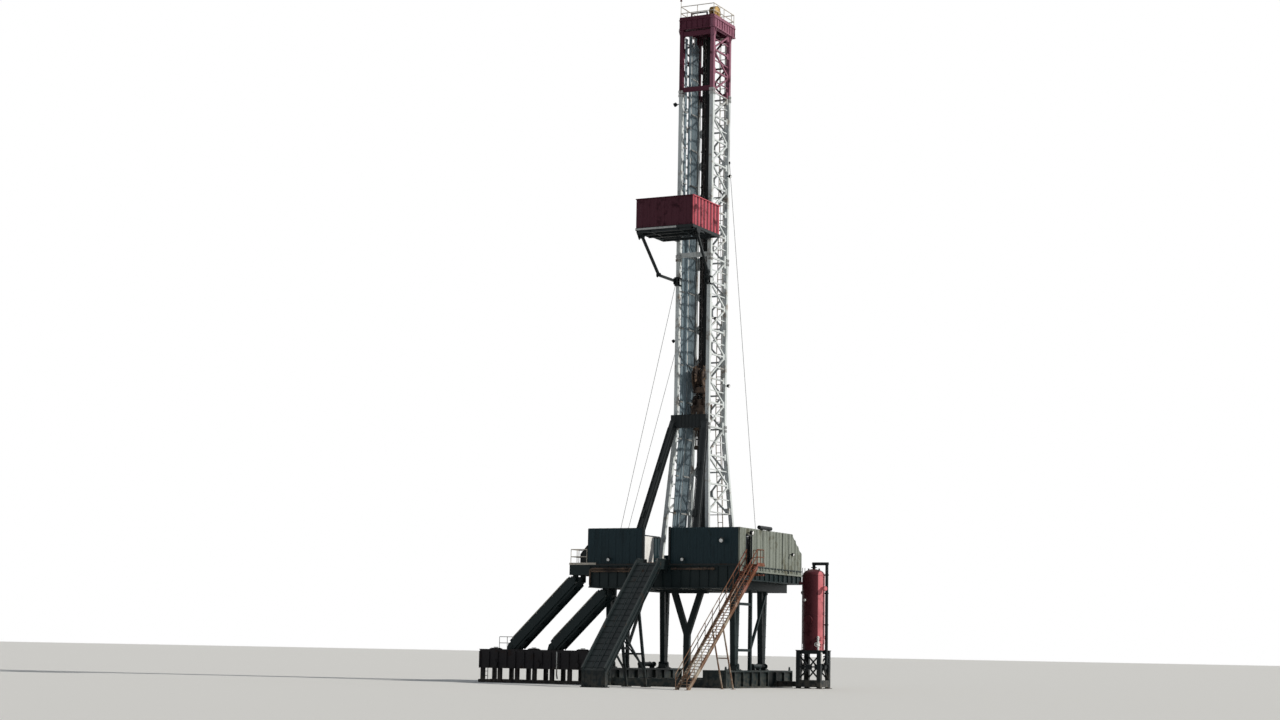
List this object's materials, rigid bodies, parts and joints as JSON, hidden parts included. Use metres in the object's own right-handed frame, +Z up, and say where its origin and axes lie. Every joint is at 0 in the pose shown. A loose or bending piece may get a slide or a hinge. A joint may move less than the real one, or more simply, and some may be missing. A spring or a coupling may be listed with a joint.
{
  "type": "land oil drilling rig, 1:2 scale model",
  "caption": "Land drilling rig with a tall lattice mast, racking board, crown, hoist, walled drill floor on a steel base, ramp, stair, swing arms, tank and gas separator.",
  "frame": {"origin": "on the ground at the well centre, under the middle of the rotary table", "axes": "+Z up, +X along the front of the drill floor towards the stair, -Y towards the ramp side that the picture shows"},
  "size_m": [12.625, 11.461, 27.2203],
  "materials": {
    "base_paint": "satin",
    "deck_steel": "worn",
    "wall_paint": "satin",
    "rail_paint": "satin",
    "ramp_steel": "worn",
    "machine_paint": "satin",
    "mast_paint": "satin",
    "top_paint": "satin",
    "sheave_iron": "worn",
    "guard_paint": "satin",
    "hoist_paint": "worn",
    "wire_rope": "matte",
    "vessel_paint": "satin",
    "stand_paint": "satin"
  },
  "bodies": {
    "rig": {"base_boxes": "base_paint", "base_spreaders": "base_paint", "floor_legs": "base_paint", "side_frames": "base_paint", "centre_v_post": "base_paint", "floor_frame": "base_paint", "drill_floor": "deck_steel", "rotary_table": "machine_paint", "wing_platform": "base_paint", "swing_arms": "base_paint", "water_tank": "deck_steel", "front_windwall": "wall_paint", "right_windwall": "wall_paint", "rear_windwall": "wall_paint", "left_windwall": "wall_paint", "v_door_panel": "mast_paint", "landing_handrail": "rail_paint", "v_door_ramp": "ramp_steel", "stair_stringers": "ramp_steel", "stair_treads": "ramp_steel", "stair_handrails": "rail_paint", "stair_landing": "ramp_steel", "drawworks": "machine_paint", "mast_lower": "mast_paint", "mast_middle": "mast_paint", "mast_upper": "mast_paint", "mast_top": "top_paint", "crown_frame": "top_paint", "crown_sheaves": "sheave_iron", "sheave_guard": "guard_paint", "crown_handrail": "rail_paint", "racking_board": "machine_paint", "board_fingers": "machine_paint", "board_windwalls": "top_paint", "board_braces": "machine_paint", "raising_struts": "machine_paint", "guide_rail": "deck_steel", "drilling_lines": "wire_rope", "standing_lines": "wire_rope", "mast_ladder": "ramp_steel", "gas_separator": "vessel_paint", "separator_stand": "stand_paint", "separator_vent": "stand_paint"},
    "hoist": {"travelling_block": "hoist_paint", "top_drive": "hoist_paint"}
  },
  "joints": [
    {"name": "block_hoist", "type": "slide", "parent": "rig", "child": "hoist", "axis": [0, 0, 1], "range_m": [-4, 11.5], "deforming": ["drilling_lines"]}
  ]
}
